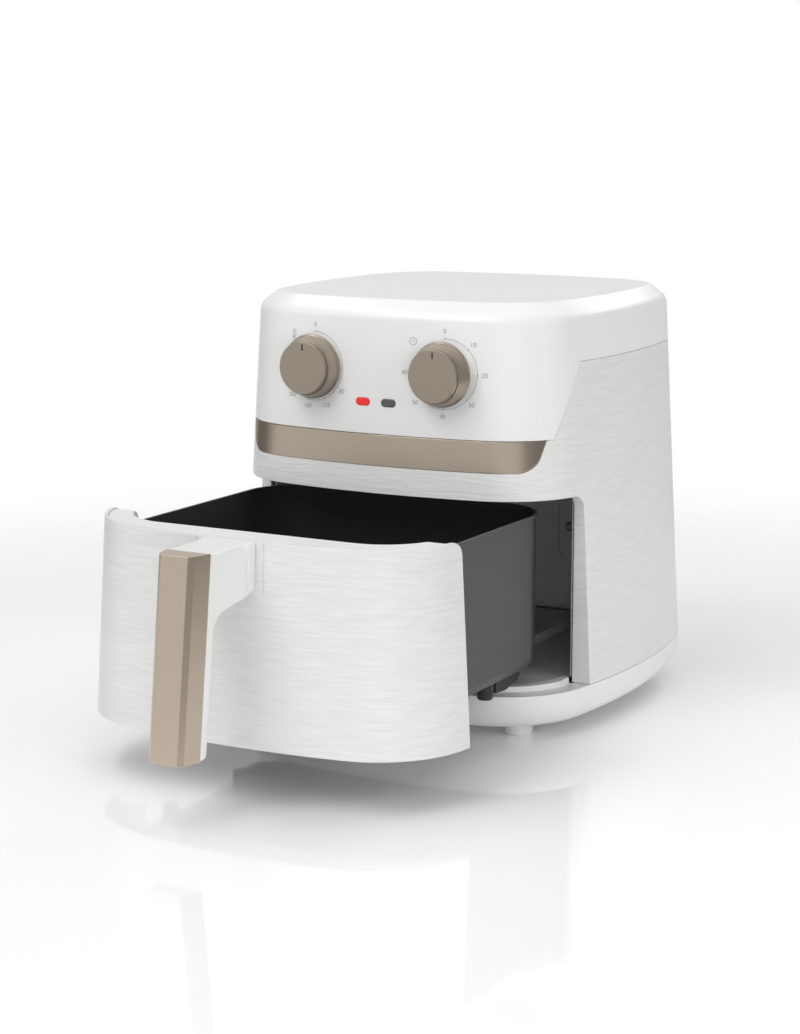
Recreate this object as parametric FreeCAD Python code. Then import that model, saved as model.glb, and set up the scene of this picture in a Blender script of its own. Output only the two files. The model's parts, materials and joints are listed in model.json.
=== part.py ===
import FreeCAD, Part
import math
import os
from FreeCAD import Vector

# Two-knob hot-air fryer with a pull-out pan, in millimetres.
# The origin is on the surface that the feet stand on, under the middle of the body.
# +X is to the right seen from the front, the front faces -Y, and +Z is up.
# Drawer pieces are drawn closed and are then moved out by DRAWER_OPEN, where the drawer rests.

# Body: each outline is half width, half depth, corner radius, front radius, side radius
TOP_Z = 310.0
TOP_PLANE = (121.4, 124.4, 49.3, 421.0, 452.0)
SHOULDER_Z = 300.1
SHOULDER_OUT = 13.1
SHOULDER = tuple(value + SHOULDER_OUT for value in TOP_PLANE)
WIDEST_Z = 35.4
WIDEST = (147.8, 151.3, 67.8, 525.0, 478.0)
SOLE_Z = 9.4
SOLE = (133.6, 135.7, 67.3, 497.0, 490.0)
WALL = 3.0
SEAM = 0.2
HOUSING_FRONT_Y = -70.0
HOUSING_REAR_Y = 104.0

# Drawer opening and drawer
OPENING_TOP = 173.2
OPENING_Y = -78.3
OPENING_CORNER = 10.0
WINDOW_X = 126.8
DRAWER_GAP = 0.9
DRAWER_LOW = 36.6
DRAWER_OPEN = 186.9
FRONT_WALL = 2.6

# Pan and chamber
PAN_X = 115.0
PAN_FRONT = -112.0
PAN_REAR = 101.5
PAN_CORNER = 40.0
PAN_LOW = 52.0
PAN_TOP = 163.5
PAN_WALL = 1.0
PAN_BEND = 10.0
PAN_MID = (PAN_FRONT + PAN_REAR) / 2
CHAMBER_X = 124.0
CHAMBER_REAR = 122.0
CHAMBER_CORNER = 44.8
CHAMBER_TOP = 176.0
FLOOR_Z = 37.4
SHEET = 0.8
LIP_TOP = 39.5

# Seam between the smooth top cover and the textured housing
COVER_LOW = 215.4
COVER_FRONT_Y = -105.0
COVER_SIDE_Y = -77.8
COVER_SIDE_Z = 267.8

# Trim band
BAND_LOW = 192.9
BAND_TOP = 215.0
BAND_X = 119.5
BAND_LOW_X = 114.5

# Controls
KNOB_X = 52.3
KNOB_Z = 260.5
KNOB_BACK = -139.6
KNOB_FACE = -154.1
KNOB_R = 19.6
SKIRT_R = 23.0
KNOB_GROOVE = 1.2
SHAFT_R = 3.0
SHAFT_BORE_R = 3.05
LAMP_X = 10.3
LAMP_Z = 237.8
LAMP_SIZE = (11.3, 5.5)

# Handle: the grip leans outwards as it goes down
GRIP_TOP = Vector(0, -206.4, 172.2)
GRIP_RUN = Vector(0, -16.1, -130.2)
GRIP_FLAT = 10.0
GRIP_BEVEL = 3.2
GRIP_X = 17.0
GRIP_DEPTH = 16.0
GRIP_WALL = 2.2
HANDLE_DEPTH = 23.7

# Fan and motor
FAN_Y = PAN_MID
FAN_Z = 198.0
ELEMENT_Z = 192.0
ELEMENT_R = 76.0
ELEMENT_INNER_R = 58.0
ELEMENT_BEND = 8.0
ELEMENT_LEG = 34.0
ELEMENT_ENDS = (math.radians(-80), math.radians(-66))

# Places of small pieces: X and Z on a rear wall or front, X and Y under the base
GLAND_X = 45.0
GLAND_Z = 62.0
SWITCH_X = 58.0
SWITCH_Z = 96.0
PANEL_SCREWS = [(-33.0, 108.0), (33.0, 108.0)]
SCREW_SPOTS = [(x, y) for x in (-70, 70) for y in (-108, 108)]
HANDLE_SCREWS = [(0, 163.0), (0, 147.0)]
BUMPER_SPOTS = [(x, y) for x in (-93, 93) for y in (PAN_FRONT + 22, PAN_REAR - 22)]


def ring_point(radius, angle):
    """Point of the heating element's ring."""
    return Vector(radius * math.cos(angle), FAN_Y + radius * math.sin(angle), ELEMENT_Z)


def ring_leg(radius, angle):
    """Place of the upright leg that leaves a ring along its tangent."""
    tangent = Vector(-math.sin(angle), math.cos(angle), 0)
    return ring_point(radius, angle) - tangent * ELEMENT_BEND


ELEMENT_LEGS = [ring_leg(ELEMENT_R, ELEMENT_ENDS[0]), ring_leg(ELEMENT_INNER_R, ELEMENT_ENDS[1])]


def mix(first, second, share):
    return tuple(a + (b - a) * share for a, b in zip(first, second))


def wall_size(z):
    """Outline of the body's tapered wall at height z."""
    return mix(SHOULDER, WIDEST, (SHOULDER_Z - z) / (SHOULDER_Z - WIDEST_Z))


def outline(size, inset, z):
    """Closed outline of eight tangent arcs: four long shallow ones and four tighter corners."""
    half_w, half_d, corner, front, side = (value - inset for value in size)
    front_centre = Vector(0, half_d - front, 0)
    side_centre = Vector(half_w - side, 0, 0)
    span = side_centre - front_centre
    along = ((front - corner) ** 2 - (side - corner) ** 2 + span.Length ** 2) / (2 * span.Length)
    across = math.sqrt((front - corner) ** 2 - along ** 2)
    step = span * (1 / span.Length)
    corner_centre = front_centre + step * along + Vector(step.y, -step.x, 0) * across
    front_end = front_centre + (corner_centre - front_centre).normalize() * front
    side_end = side_centre + (corner_centre - side_centre).normalize() * side
    middle = (front_end + side_end) * 0.5 - corner_centre
    corner_mid = corner_centre + middle.normalize() * corner
    points = []
    for sign_x, sign_y in ((1, 1), (-1, 1), (-1, -1), (1, -1)):
        quarter = [side_end, corner_mid, front_end, Vector(0, half_d, 0)]
        if sign_x * sign_y < 0:
            quarter = [front_end, corner_mid, side_end, Vector(half_w, 0, 0)]
        points += [Vector(sign_x * p.x, sign_y * p.y, z) for p in quarter]
    arcs = [Part.Arc(points[i], points[i + 1], points[(i + 2) % 16]) for i in range(0, 16, 2)]
    return Part.Wire([arc.toShape() for arc in arcs])


def tapered(inset, low, high):
    """Block bounded by the body's tapered wall, inset by a distance."""
    return Part.makeLoft([outline(wall_size(z), inset, z) for z in (low, high)], True, True)


def underside(inset, high):
    """Rounded lower body, from the sole up to height high at the widest level."""
    steps = 8
    wires = [outline(WIDEST, inset, high)]
    for i in range(1, steps + 1):
        angle = i / steps * math.pi / 2
        size = mix(WIDEST, SOLE, 1 - math.cos(angle))
        wires.append(outline(size, inset, high - (high - SOLE_Z - inset) * math.sin(angle)))
    return Part.makeLoft(wires, True, True)


def arc_points(before, corner, after, radius, steps):
    """Points along a fillet of one corner of a profile."""
    back = (before - corner).normalize()
    ahead = (after - corner).normalize()
    half = back.getAngle(ahead) / 2
    bisector = (back + ahead).normalize()
    centre = corner + bisector * (radius / math.sin(half))
    first = corner + back * (radius / math.tan(half)) - centre
    last = corner + ahead * (radius / math.tan(half)) - centre
    turn = first.getAngle(last)
    points = []
    for i in range(steps + 1):
        share = i / steps
        weight_a = math.sin((1 - share) * turn) / math.sin(turn)
        weight_b = math.sin(share * turn) / math.sin(turn)
        points.append(centre + first * weight_a + last * weight_b)
    return points


def crown(inset, low):
    """Top of the body: wall, soft bevel and flat top, from height low upwards."""
    wall = Vector(SHOULDER_OUT + 1, SHOULDER_Z - 20, 0)
    shoulder = Vector(SHOULDER_OUT, SHOULDER_Z, 0)
    edge = Vector(0, TOP_Z, 0)
    middle = Vector(-40, TOP_Z, 0)
    profile = arc_points(wall, shoulder, edge, 9.0, 4) + arc_points(shoulder, edge, middle, 5.0, 4)
    wires = [outline(wall_size(low), inset, low)]
    for point in profile:
        size = tuple(value + point.x for value in TOP_PLANE)
        wires.append(outline(size, inset, point.y - inset))
    return Part.makeLoft(wires, True, True)


def path(points, radii, place):
    """Closed wire with straight sides, whose corner i is rounded to radii[i]."""
    count = len(points)
    corners = []
    for i, radius in enumerate(radii):
        corner = Vector(*points[i], 0)
        ends = [corner, corner, corner]
        if radius:
            before = Vector(*points[i - 1], 0)
            after = Vector(*points[(i + 1) % count], 0)
            ends = arc_points(before, corner, after, radius, 2)
        corners.append([place(end) for end in ends])
    edges = []
    for i, (start, middle, end) in enumerate(corners):
        if radii[i]:
            edges.append(Part.Arc(start, middle, end).toShape())
        following = corners[(i + 1) % count][0]
        if end.distanceToPoint(following) > 1e-6:
            edges.append(Part.LineSegment(end, following).toShape())
    return Part.Wire(edges)


def prism_x(points, radii, low, high):
    """Profile in Y and Z, run from x = low to x = high."""
    wire = path(points, radii, lambda p: Vector(low, p.x, p.y))
    return Part.Face(wire).extrude(Vector(high - low, 0, 0))


def prism_y(points, radii, low, high):
    """Profile in X and Z, run from y = low to y = high."""
    wire = path(points, radii, lambda p: Vector(p.x, low, p.y))
    return Part.Face(wire).extrude(Vector(0, high - low, 0))


def prism_z(points, radii, low, high):
    """Profile in X and Y, run from z = low to z = high."""
    wire = path(points, radii, lambda p: Vector(p.x, p.y, low))
    return Part.Face(wire).extrude(Vector(0, 0, high - low))


def box(x0, x1, y0, y1, z0, z1):
    return Part.makeBox(x1 - x0, y1 - y0, z1 - z0, Vector(x0, y0, z0))


def tray(half_x, front, rear, radius, low, high):
    """Upright block with rounded corners, centred on X."""
    points = [(-half_x, front), (half_x, front), (half_x, rear), (-half_x, rear)]
    return prism_z(points, [radius] * 4, low, high)


def rod_y(radius, x, z, low, high):
    return Part.makeCylinder(radius, high - low, Vector(x, low, z), Vector(0, 1, 0))


def rod_z(radius, x, y, low, high):
    return Part.makeCylinder(radius, high - low, Vector(x, y, low))


def ring_z(outer, inner, x, y, low, high):
    return rod_z(outer, x, y, low, high).cut(rod_z(inner, x, y, low - 1, high + 1))


def turned(points, centre, axis):
    """Solid turned from a profile of (radius, height) points about an axis through centre."""
    wire = Part.makePolygon([Vector(r, 0, h) for r, h in points + points[:1]])
    solid = Part.Face(wire).revolve(Vector(0, 0, 0), Vector(0, 0, 1), 360)
    turn = FreeCAD.Rotation(Vector(0, 0, 1), axis)
    solid.Placement = FreeCAD.Placement(centre, turn)
    return solid


def joined(shapes):
    first, *others = shapes
    return first.fuse(others).removeSplitter() if others else first


def apart(shapes):
    """Like pieces that share a node, kept as separate solids."""
    return Part.makeCompound(shapes)


# ---- Body shells

def opening_block(extra):
    """Space in front of the chamber that the drawer front fills, grown by extra."""
    top = OPENING_TOP + extra
    rear = OPENING_Y + extra
    points = [(-260, 0), (rear, 0), (rear, top), (-260, top)]
    return prism_x(points, [0, 0, OPENING_CORNER + extra, 0], -200, 200)


def band_mask(extra):
    """Front view of the trim band: square upper ends and rounded lower ends."""
    low = BAND_LOW - extra
    top = BAND_TOP + extra
    upper = BAND_X + extra
    lower = BAND_LOW_X + extra
    points = [(-upper, top), (-lower, low), (lower, low), (upper, top)]
    return prism_y(points, [0, 13, 13, 0], -200, -60)


def housing_quarters(shell):
    """Front over the drawer, two sides and rear, face to face, so that none bends round the chamber."""
    front_mask = box(-200, 200, -200, HOUSING_FRONT_Y, OPENING_TOP, 400)
    rear_mask = box(-200, 200, HOUSING_REAR_Y, 200, 0, 400)
    middle = shell.cut([front_mask, rear_mask])
    sides = [middle.common(box(*ends, -200, 200, 0, 400)) for ends in ((-200, 0), (0, 200))]
    return [shell.common(front_mask)] + sides + [shell.common(rear_mask)]


def main_housing():
    top = COVER_SIDE_Z - SEAM
    shell = tapered(0, WIDEST_Z + SEAM, top).cut(tapered(WALL, WIDEST_Z - 1, top + 1))
    cover_front = [(-200, COVER_LOW - SEAM), (COVER_FRONT_Y + SEAM, COVER_LOW - SEAM),
                   (COVER_SIDE_Y + SEAM, COVER_SIDE_Z), (COVER_SIDE_Y + SEAM, 400), (-200, 400)]
    shell = shell.cut(prism_x(cover_front, [0] * 5, -200, 200))
    recess = tapered(-5, BAND_LOW - 5, BAND_TOP + 5).cut(tapered(1.9, BAND_LOW - 6, BAND_TOP + 6))
    shell = shell.cut(recess.common(band_mask(SEAM)))
    shell = shell.cut(opening_block(0))
    edge = opening_block(2.5).cut(opening_block(0))
    edge = edge.common(tapered(0.6, WIDEST_Z + SEAM, OPENING_TOP + 10))
    window = box(-WINDOW_X, WINDOW_X, -200, -60, 0, OPENING_TOP)
    shell = shell.fuse(edge.cut(window)).removeSplitter()
    vent = box(-46, 46, 100, 200, 204, 252)
    gland = rod_y(6.0, GLAND_X, GLAND_Z, 100, 200)
    quarters = housing_quarters(shell.cut([vent, gland]))
    return apart([solid for quarter in quarters for solid in quarter.Solids])


def lamp_slot(x, grow, low, high):
    half_w = LAMP_SIZE[0] / 2 + grow
    half_h = LAMP_SIZE[1] / 2 + grow
    points = [(x - half_w, LAMP_Z - half_h), (x + half_w, LAMP_Z - half_h),
              (x + half_w, LAMP_Z + half_h), (x - half_w, LAMP_Z + half_h)]
    return prism_y(points, [half_h - 0.01] * 4, low, high)


def top_cover():
    shell = crown(0, COVER_LOW).cut(crown(WALL, COVER_LOW - 1))
    rear_points = [(COVER_FRONT_Y, 200), (COVER_FRONT_Y, COVER_LOW), (COVER_SIDE_Y, COVER_SIDE_Z),
                   (200, COVER_SIDE_Z), (200, 200)]
    shell = shell.cut(prism_x(rear_points, [0] * 5, -200, 200))
    seats = [rod_y(18.6, x, KNOB_Z, KNOB_BACK + 0.5, -127) for x in (-KNOB_X, KNOB_X)]
    shell = joined([shell] + seats)
    holes = [rod_y(SHAFT_R + 0.6, x, KNOB_Z, -200, -100) for x in (-KNOB_X, KNOB_X)]
    slots = [lamp_slot(x, 0.15, -160, -120) for x in (-LAMP_X, LAMP_X)]
    return shell.cut(holes + slots)


def trim_band():
    skin = tapered(-0.25, BAND_LOW - 3, BAND_TOP + 3).cut(tapered(1.6, BAND_LOW - 4, BAND_TOP + 4))
    return skin.common(band_mask(0))


def base():
    shell = underside(0, WIDEST_Z).cut(underside(WALL, WIDEST_Z - 2.8))
    rear = tapered(9, WIDEST_Z - 5, WIDEST_Z + 5).common(box(-200, 200, -75, 200, 0, 60))
    front = tapered(21.6, WIDEST_Z - 5, WIDEST_Z + 5).common(box(-118, 118, -200, -74, 0, 60))
    shell = shell.cut([rear, front])
    lip = tapered(13, WIDEST_Z - 1, LIP_TOP).cut(tapered(21, WIDEST_Z - 2, LIP_TOP + 1))
    lip = lip.common(box(-125, 125, -200, -79, 0, 60))
    shell = shell.fuse(lip).removeSplitter()
    posts = [ring_z(6, 1.7, x, y, SOLE_Z + 2, WIDEST_Z - 2) for x, y in SCREW_SPOTS]
    shell = shell.fuse(posts).removeSplitter()
    heads = [rod_z(3.8, x, y, 0, SOLE_Z + 2.6) for x, y in SCREW_SPOTS]
    bores = [rod_z(1.7, x, y, 0, WIDEST_Z - 4) for x, y in SCREW_SPOTS]
    return shell.cut(heads + bores)


def foot(x, y):
    return turned([(0, 0), (9.2, 0), (9.9, 1.2), (10.9, SOLE_Z), (0, SOLE_Z)],
                  Vector(x, y, 0), Vector(0, 0, 1))


def base_screws():
    shape = [(0, 9.8), (3.4, 9.8), (3.4, 11.6), (1.65, 11.9), (1.65, 30), (0, 31.5)]
    return apart([turned(shape, Vector(x, y, 0), Vector(0, 0, 1)) for x, y in SCREW_SPOTS])


def rear_vent_grille():
    panel = tapered(-0.4, 200, 256).cut(tapered(WALL, 199, 257))
    panel = panel.common(box(-45.6, 45.6, 100, 200, 204.4, 251.6))
    slots = []
    for row in range(6):
        z = 209.5 + row * 6.5
        for side in (-1, 1):
            ends = sorted((side * 3.0, side * 41.0))
            points = [(ends[0], z), (ends[1], z), (ends[1], z + 3.2), (ends[0], z + 3.2)]
            slots.append(prism_y(points, [1.5] * 4, 100, 200))
    return panel.cut(slots)


def cord_gland():
    """Bush in the rear wall where the mains lead goes in."""
    outer = rod_y(9.5, GLAND_X, GLAND_Z, 140, 151.6).cut(tapered(-0.05, 30, 90))
    inner = rod_y(9.5, GLAND_X, GLAND_Z, 141.5, 149).common(tapered(WALL + 0.05, 30, 90))
    neck = rod_y(5.9, GLAND_X, GLAND_Z, 141.5, 151.6)
    return joined([outer, neck, inner]).cut(rod_y(3.6, GLAND_X, GLAND_Z, 130, 160))


# ---- Chamber

def chamber_liner():
    outer = tray(CHAMBER_X + SHEET, -120, CHAMBER_REAR + SHEET, CHAMBER_CORNER + SHEET,
                 FLOOR_Z + SHEET + 0.2, CHAMBER_TOP + SHEET)
    inner = tray(CHAMBER_X, -121, CHAMBER_REAR, CHAMBER_CORNER, FLOOR_Z, CHAMBER_TOP)
    shell = outer.cut(inner).cut(box(-200, 200, -200, OPENING_Y + 2.8, 0, 300))
    mouth = rod_z(88, 0, FAN_Y, CHAMBER_TOP - 5, CHAMBER_TOP + 5)
    switch = rod_y(3.6, SWITCH_X, SWITCH_Z, 100, 150)
    return shell.cut([mouth, switch])


def groove(x0, x1, z0, z1, radius):
    """Rounded frame of a pressed line, seen from the front."""
    wide = [(x0 - 1, z0 - 1), (x1 + 1, z0 - 1), (x1 + 1, z1 + 1), (x0 - 1, z1 + 1)]
    narrow = [(x0 + 1, z0 + 1), (x1 - 1, z0 + 1), (x1 - 1, z1 - 1), (x0 + 1, z1 - 1)]
    depth = (CHAMBER_REAR - 4, CHAMBER_REAR - 1)
    return prism_y(wide, [radius + 1] * 4, *depth).cut(prism_y(narrow, [radius - 1] * 4, *depth))


def chamber_rear_panel():
    """Pressed plate on the rear wall, with two ribs across and two framed fields."""
    front = CHAMBER_REAR - 2.2
    plate = box(-78, 78, front, CHAMBER_REAR - 0.2, FLOOR_Z + 2, CHAMBER_TOP - 3)
    lines = [box(-78, 78, front - 1, front + 1.2, z - 1, z + 1) for z in (50.5, 69.5)]
    fields = [groove(24, 72, 80.5, 166, 11), groove(-72, -24, 80.5, 166, 11)]
    screws = [rod_y(2.1, x, z, 100, 130) for x, z in PANEL_SCREWS]
    switch = rod_y(3.6, SWITCH_X, SWITCH_Z, 100, 150)
    return plate.cut(lines + fields + screws + [switch])


def panel_screws():
    screws = []
    for x, z in PANEL_SCREWS:
        dome = Part.makeSphere(5, Vector(x, 122.5, z))
        head = dome.common(box(x - 6, x + 6, 117, 119.7, z - 6, z + 6))
        screws.append(joined([head, rod_y(1.9, x, z, 119.5, 121.8)]))
    return apart(screws)


def chamber_floor():
    sheet = tapered(21.7, FLOOR_Z, FLOOR_Z + SHEET)
    return sheet.common(box(-CHAMBER_X, CHAMBER_X, -200, CHAMBER_REAR - 0.5, 0, 60))


def pan_rails():
    """Pressed strips on the floor that guide the pan's underside."""
    low = FLOOR_Z + SHEET
    points = [(-70, low), (100, low), (100, 45), (-60, 45)]
    return apart([prism_x(points, [0, 0, 3, 3], x - 1.5, x + 1.5) for x in (-57, 57)])


def reflector_dish():
    """Spun dish over the heating element, open downwards."""
    foot_z = CHAMBER_TOP + SHEET
    outer = [(86, foot_z), (97, foot_z), (97, foot_z + SHEET), (87.2, foot_z + SHEET),
             (78, 224), (8, 224), (8, 222.8), (77, 222.8)]
    dish = turned(outer, Vector(0, FAN_Y, 0), Vector(0, 0, 1))
    return dish.cut([rod_z(5, leg.x, leg.y, 205, 230) for leg in ELEMENT_LEGS])


def element_bend(leg, flat):
    """Quarter turn from a leg's foot into the level ring, and the leg above it."""
    level = (flat - leg).normalize() * ELEMENT_BEND
    foot_end = leg + Vector(0, 0, ELEMENT_BEND)
    centre = foot_end + level
    knee = centre - (level + Vector(0, 0, ELEMENT_BEND)).normalize() * ELEMENT_BEND
    riser = Part.LineSegment(foot_end + Vector(0, 0, ELEMENT_LEG), foot_end).toShape()
    return [riser, Part.Arc(foot_end, knee, flat).toShape()]


def heating_element():
    """Sheathed rod: down through the dish, round the fan, back on itself, and up again."""
    first, last = ELEMENT_ENDS
    turn = first + math.radians(326)
    outer = [ring_point(ELEMENT_R, angle) for angle in (first, (first + turn) / 2, turn)]
    inner = [ring_point(ELEMENT_INNER_R, angle) for angle in (turn, (last + turn) / 2, last)]
    along = Vector(-math.sin(turn), math.cos(turn), 0) * ((ELEMENT_R - ELEMENT_INNER_R) / 2)
    nose = (outer[2] + inner[0]) * 0.5 + along
    edges = element_bend(ELEMENT_LEGS[0], outer[0])
    edges.append(Part.Arc(*outer).toShape())
    edges.append(Part.Arc(outer[2], nose, inner[0]).toShape())
    edges.append(Part.Arc(*inner).toShape())
    edges += reversed(element_bend(ELEMENT_LEGS[1], inner[2]))
    top = ELEMENT_LEGS[0] + Vector(0, 0, ELEMENT_BEND + ELEMENT_LEG)
    section = Part.Wire([Part.makeCircle(3.2, top, Vector(0, 0, -1))])
    return Part.Wire(Part.__sortEdges__(edges)).makePipeShell([section], True, True)


def element_guard():
    """Wire guard in the dish's mouth that keeps food off the element."""
    z = 180.5
    rings = [Part.makeTorus(r, 1.2, Vector(0, FAN_Y, z)) for r in (30, 56, 82)]
    spokes = []
    for i in range(6):
        away = Vector(math.cos(math.pi * i / 3), math.sin(math.pi * i / 3), 0)
        spokes.append(Part.makeCylinder(1.2, 77, Vector(0, FAN_Y, z + 1.6) + away * 7, away))
    return joined([rod_z(9, 0, FAN_Y, z + 0.4, z + 2.8)] + rings + spokes)


# ---- Fan and motor

def blades(count, inner, outer, low, high, lean):
    plate = box(inner, outer, -0.6, 0.6, low, high)
    plate.rotate(Vector(inner, 0, 0), Vector(0, 0, 1), lean)
    fans = []
    for i in range(count):
        blade = plate.copy()
        blade.rotate(Vector(0, 0, 0), Vector(0, 0, 1), 360 * i / count)
        blade.translate(Vector(0, FAN_Y, 0))
        fans.append(blade)
    return fans


def hot_air_fan():
    disc = ring_z(44, SHAFT_BORE_R, 0, FAN_Y, FAN_Z + 14, FAN_Z + 15)
    hub = ring_z(8, SHAFT_BORE_R, 0, FAN_Y, FAN_Z, FAN_Z + 15)
    return joined([hub, disc] + blades(12, 14, 43, FAN_Z, FAN_Z + 14.5, 14))


def cooling_fan():
    disc = ring_z(20, SHAFT_BORE_R, 0, FAN_Y, 274, 275.2)
    hub = ring_z(7, SHAFT_BORE_R, 0, FAN_Y, 272, 286)
    return joined([hub, disc] + blades(8, 6, 38, 275, 286, 10))


def motor_shaft():
    return rod_z(SHAFT_R, 0, FAN_Y, FAN_Z - 4, 292)


def fan_nut():
    points = [(6.2 * math.cos(i * math.pi / 3), FAN_Y + 6.2 * math.sin(i * math.pi / 3))
              for i in range(6)]
    nut = prism_z(points, [0] * 6, FAN_Z - 5.6, FAN_Z - 0.3)
    return nut.cut(rod_z(SHAFT_BORE_R, 0, FAN_Y, FAN_Z - 4.2, FAN_Z))


def motor_rotor():
    return ring_z(18.4, SHAFT_BORE_R, 0, FAN_Y, 241, 262)


def motor_stator():
    block = tray(31, FAN_Y - 31, FAN_Y + 31, 6, 241, 262)
    return block.cut(rod_z(19, 0, FAN_Y, 240, 263))


def motor_end(low):
    """End bracket with the sleeve bearing's seat."""
    plate = tray(12, FAN_Y - 30, FAN_Y + 30, 5, low, low + 2)
    return plate.cut(rod_z(6.1, 0, FAN_Y, low - 1, low + 3))


def motor_bearings():
    """Sleeve bearings in the two end brackets."""
    return apart([ring_z(6, SHAFT_BORE_R, 0, FAN_Y, low, low + 6) for low in (233.6, 263.2)])


def motor_mount():
    """Bridge that carries the motor over the dish."""
    plate = box(-62, 62, FAN_Y - 20, FAN_Y + 20, 233, 234.6)
    legs = [box(x, x + 1.6, FAN_Y - 20, FAN_Y + 20, 224.1, 234) for x in (-62, 60.4)]
    feet = [box(x, x + 10, FAN_Y - 20, FAN_Y + 20, 224.1, 225.7) for x in (-72, 62)]
    bridge = joined([plate] + legs + feet)
    return bridge.cut(rod_z(9, 0, FAN_Y, 230, 240))


# ---- Controls

def control_plate():
    points = [(-84, 242), (84, 242), (84, 284), (-84, 284)]
    plate = prism_y(points, [5] * 4, -118.6, -117.2)
    holes = [rod_y(5.2, x, KNOB_Z, -130, -110) for x in (-KNOB_X, KNOB_X)]
    return plate.cut(holes)


def bush(x):
    return rod_y(5, x, KNOB_Z, -125, -116).cut(rod_y(SHAFT_BORE_R, x, KNOB_Z, -126, -100))


def thermostat():
    points = [(-KNOB_X - 15, KNOB_Z - 13), (-KNOB_X + 15, KNOB_Z - 13),
              (-KNOB_X + 15, KNOB_Z + 13), (-KNOB_X - 15, KNOB_Z + 13)]
    body = prism_y(points, [3] * 4, -117, -96)
    body = body.cut(rod_y(SHAFT_BORE_R, -KNOB_X, KNOB_Z, -120, -108))
    tags = [box(x - 3, x + 3, -97, -88, KNOB_Z + 4, KNOB_Z + 4.8) for x in (-KNOB_X - 8, -KNOB_X + 8)]
    return joined([body, bush(-KNOB_X)] + tags)


def timer():
    points = [(KNOB_X - 22, KNOB_Z - 22), (KNOB_X + 22, KNOB_Z - 22),
              (KNOB_X + 22, KNOB_Z + 22), (KNOB_X - 22, KNOB_Z + 22)]
    body = prism_y(points, [6] * 4, -117, -86)
    body = body.cut(rod_y(SHAFT_BORE_R, KNOB_X, KNOB_Z, -120, -104))
    post = rod_y(2.5, KNOB_X, KNOB_Z, -87, -71)
    return joined([body, bush(KNOB_X), post])


def timer_bell():
    dome = [(2.6, -12.2), (2.6, -13.4), (14, -12.4), (19, -8.8), (20.2, 0), (19, 0),
            (18, -8.2), (13.6, -11.2)]
    return turned(dome, Vector(KNOB_X, -84, KNOB_Z), Vector(0, -1, 0))


def knob(x):
    """Turned drum that widens to a skirt, with a groove behind the cap and a bore for the shaft."""
    front = KNOB_BACK - KNOB_FACE - 2.2
    neck = KNOB_R - 0.4 - KNOB_GROOVE
    profile = [(0, 0), (SKIRT_R - 0.6, 0), (SKIRT_R, 0.8), (SKIRT_R, 2.2), (SKIRT_R - 1.0, 3.0),
               (KNOB_R + 0.4, front - KNOB_GROOVE - 0.8), (KNOB_R - 0.2, front - KNOB_GROOVE),
               (neck, front - KNOB_GROOVE), (neck, front), (0, front)]
    drum = turned(profile, Vector(x, KNOB_BACK, KNOB_Z), Vector(0, -1, 0))
    return drum.cut(rod_y(SHAFT_BORE_R, x, KNOB_Z, KNOB_FACE + 4.5, KNOB_BACK + 1))


def knob_cap(x):
    """Front disc with a slightly dished face and a notch for the pointer."""
    profile = [(0, 0), (KNOB_R - 0.9, 0), (KNOB_R - 0.4, 0.5), (KNOB_R - 0.5, 1.5),
               (KNOB_R - 1.1, 2.2), (KNOB_R - 1.8, 2.0), (0, 2.0)]
    cap = turned(profile, Vector(x, KNOB_FACE + 2.2, KNOB_Z), Vector(0, -1, 0))
    notch = box(x - 0.6, x + 0.6, KNOB_FACE - 1, KNOB_FACE + 1, KNOB_Z + 12.4, KNOB_Z + 17)
    return cap.cut(notch)


def knob_pointer(x):
    return box(x - 0.55, x + 0.55, KNOB_FACE + 0.35, KNOB_FACE + 0.95, KNOB_Z + 12.5, KNOB_Z + 16.9)


def knob_shaft(x, rear):
    return rod_y(SHAFT_R, x, KNOB_Z, KNOB_FACE + 4.7, rear)


def indicator_lens(x):
    return lamp_slot(x, 0, -140.9, -131).fuse(lamp_slot(x, 1.2, -133.5, -131)).removeSplitter()


def indicator_lamps():
    """Two neon lamps in a clip behind the lenses."""
    clip = box(-22, 22, -124, -121.5, LAMP_Z - 7, LAMP_Z + 7)
    clip = clip.cut([rod_y(2.9, x, LAMP_Z, -130, -110) for x in (-LAMP_X, LAMP_X)])
    lamps = [rod_y(2.8, x, LAMP_Z, -130.5, -112) for x in (-LAMP_X, LAMP_X)]
    return apart([clip] + lamps)


def interlock_switch():
    body = box(SWITCH_X - 10, SWITCH_X + 10, 125.5, 134, SWITCH_Z - 5, SWITCH_Z + 5)
    return body.cut(rod_y(3.4, SWITCH_X, SWITCH_Z, 120, 131.5))


def switch_plunger():
    tip = rod_y(3.0, SWITCH_X, SWITCH_Z, PAN_REAR + 0.4, 127.5)
    return tip.makeFillet(1.2, [tip.Edges[0], tip.Edges[2]])


def thermal_fuse():
    body = Part.makeCylinder(3.5, 18, Vector(-9, FAN_Y + 42, 227.9), Vector(1, 0, 0))
    clip = box(-5, 5, FAN_Y + 36, FAN_Y + 48, 224.1, 225.3)
    return joined([body, clip, box(-5, 5, FAN_Y + 40, FAN_Y + 44, 224.5, 226)])


def terminal_block():
    block = box(GLAND_X - 50, GLAND_X - 20, 128, 140, 16, 28)
    holes = [rod_y(2.2, GLAND_X - 45 + 10 * i, 22, 120, 150) for i in range(3)]
    return block.cut(holes)


# ---- Drawer

def drawer_block(extra):
    """Closed space of the drawer front, smaller than the opening by DRAWER_GAP plus extra."""
    rear = OPENING_Y - DRAWER_GAP - extra
    top = OPENING_TOP - DRAWER_GAP - extra
    points = [(-260, DRAWER_LOW), (rear, DRAWER_LOW), (rear, top), (-260, top)]
    return prism_x(points, [0, 0, OPENING_CORNER - 1, 0], -200, 200)


def pan_space(grow):
    return tray(PAN_X + grow, PAN_FRONT - grow, PAN_REAR + 60, PAN_CORNER + grow, 0, 200)


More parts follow.
